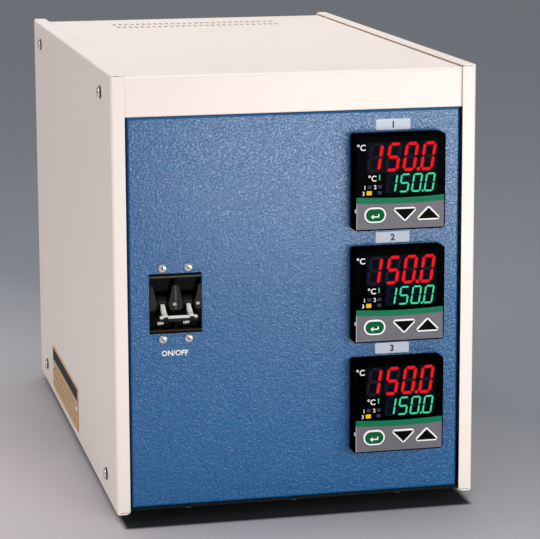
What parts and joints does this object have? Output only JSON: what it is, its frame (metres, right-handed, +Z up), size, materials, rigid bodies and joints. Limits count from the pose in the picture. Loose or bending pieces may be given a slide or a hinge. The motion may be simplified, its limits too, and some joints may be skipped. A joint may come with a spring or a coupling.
{
  "type": "tube furnace control console",
  "caption": "Bench console that controls a tube furnace: sheet-metal cabinet with a tied toggle breaker and keyed temperature controllers on its front.",
  "frame": {"origin": "on the floor under the middle of the whole object's bounding box", "axes": "+X to the right seen from the front, +Y to the back, +Z up; the panel with the controllers faces -Y"},
  "size_m": [0.2758, 0.4726, 0.3295],
  "materials": {
    "ivory_paint": "smooth satin powder coat, warm ivory",
    "blue_paint": "textured leather-grain paint, mid blue",
    "black_paint": "matt black powder coat",
    "zinc": "bright zinc plating",
    "rubber": "matt black moulded rubber",
    "plate_metal": "printed anodised gold plate",
    "breaker_black": "black moulded thermoset",
    "breaker_handle": "light grey moulded plastic",
    "bezel_black": "fine-textured black plastic",
    "window_smoke": "smoked display window",
    "band_green": "printed green band",
    "fascia_grey": "satin grey key fascia",
    "key_green": "green key with a white ring",
    "key_black": "black key with a white outline",
    "relay_body": "off-white moulded housing",
    "strip_black": "black phenolic moulding",
    "aluminium": "plain extruded finish",
    "connector_shell": "black moulded connector",
    "jack_yellow": "yellow moulded jack",
    "gland_nylon": "black nylon",
    "nickel": "nickel-plated brass"
  },
  "bodies": {
    "cabinet": {"base_pan": "black_paint", "breaker_left_pole": "breaker_black", "breaker_pivot_pin": "zinc", "breaker_right_pole": "breaker_black", "breaker_screws": "zinc", "breaker_terminals": "nickel", "controller_collars": "bezel_black", "data_plate": "plate_metal", "data_plate_rivets": "zinc", "earth_stud": "nickel", "foot_screws": "zinc", "front_panel": "blue_paint", "gland_locknut": "gland_nylon", "heat_sink": "aluminium", "left_side_panel": "ivory_paint", "panel_screws": "zinc", "rear_panel": "ivory_paint", "right_side_panel": "ivory_paint", "rubber_feet": "rubber", "side_panel_screws": "zinc", "sink_brackets": "zinc", "socket_screws": "zinc", "supply_gland": "gland_nylon", "terminal_strip": "strip_black", "terminal_strip_screws": "nickel", "thermocouple_jacks": "jack_yellow", "top_cover": "ivory_paint", "zone_1_bezel": "bezel_black", "zone_1_case": "bezel_black", "zone_1_fascia": "fascia_grey", "zone_1_output_socket": "connector_shell", "zone_1_relay": "relay_body", "zone_1_stripe": "band_green", "zone_1_window": "window_smoke", "zone_2_bezel": "bezel_black", "zone_2_case": "bezel_black", "zone_2_fascia": "fascia_grey", "zone_2_output_socket": "connector_shell", "zone_2_relay": "relay_body", "zone_2_stripe": "band_green", "zone_2_window": "window_smoke", "zone_3_bezel": "bezel_black", "zone_3_case": "bezel_black", "zone_3_fascia": "fascia_grey", "zone_3_output_socket": "connector_shell", "zone_3_relay": "relay_body", "zone_3_stripe": "band_green", "zone_3_window": "window_smoke"},
    "breaker_handles": {"breaker_left_handle": "breaker_handle", "breaker_right_handle": "breaker_handle", "handle_tie_bar": "zinc"},
    "zone_1_set_button": {"zone_1_set_key": "key_green"},
    "zone_1_down_button": {"zone_1_down_key": "key_black"},
    "zone_1_up_button": {"zone_1_up_key": "key_black"},
    "zone_2_set_button": {"zone_2_set_key": "key_green"},
    "zone_2_down_button": {"zone_2_down_key": "key_black"},
    "zone_2_up_button": {"zone_2_up_key": "key_black"},
    "zone_3_set_button": {"zone_3_set_key": "key_green"},
    "zone_3_down_button": {"zone_3_down_key": "key_black"},
    "zone_3_up_button": {"zone_3_up_key": "key_black"}
  },
  "joints": [
    {"name": "breaker_switch", "type": "hinge", "parent": "cabinet", "child": "breaker_handles", "pos_m": [-0.0894, -0.2144, 0.162], "axis": [-1, 0, 0], "range_deg": [0, 49]},
    {"name": "zone_1_set_press", "type": "slide", "parent": "cabinet", "child": "zone_1_set_button", "axis": [0, 1, 0], "range_m": [0, 0.0008], "stiffness_N_per_m": 1500},
    {"name": "zone_1_down_press", "type": "slide", "parent": "cabinet", "child": "zone_1_down_button", "axis": [0, 1, 0], "range_m": [0, 0.0008], "stiffness_N_per_m": 1500},
    {"name": "zone_1_up_press", "type": "slide", "parent": "cabinet", "child": "zone_1_up_button", "axis": [0, 1, 0], "range_m": [0, 0.0008], "stiffness_N_per_m": 1500},
    {"name": "zone_2_set_press", "type": "slide", "parent": "cabinet", "child": "zone_2_set_button", "axis": [0, 1, 0], "range_m": [0, 0.0008], "stiffness_N_per_m": 1500},
    {"name": "zone_2_down_press", "type": "slide", "parent": "cabinet", "child": "zone_2_down_button", "axis": [0, 1, 0], "range_m": [0, 0.0008], "stiffness_N_per_m": 1500},
    {"name": "zone_2_up_press", "type": "slide", "parent": "cabinet", "child": "zone_2_up_button", "axis": [0, 1, 0], "range_m": [0, 0.0008], "stiffness_N_per_m": 1500},
    {"name": "zone_3_set_press", "type": "slide", "parent": "cabinet", "child": "zone_3_set_button", "axis": [0, 1, 0], "range_m": [0, 0.0008], "stiffness_N_per_m": 1500},
    {"name": "zone_3_down_press", "type": "slide", "parent": "cabinet", "child": "zone_3_down_button", "axis": [0, 1, 0], "range_m": [0, 0.0008], "stiffness_N_per_m": 1500},
    {"name": "zone_3_up_press", "type": "slide", "parent": "cabinet", "child": "zone_3_up_button", "axis": [0, 1, 0], "range_m": [0, 0.0008], "stiffness_N_per_m": 1500}
  ]
}
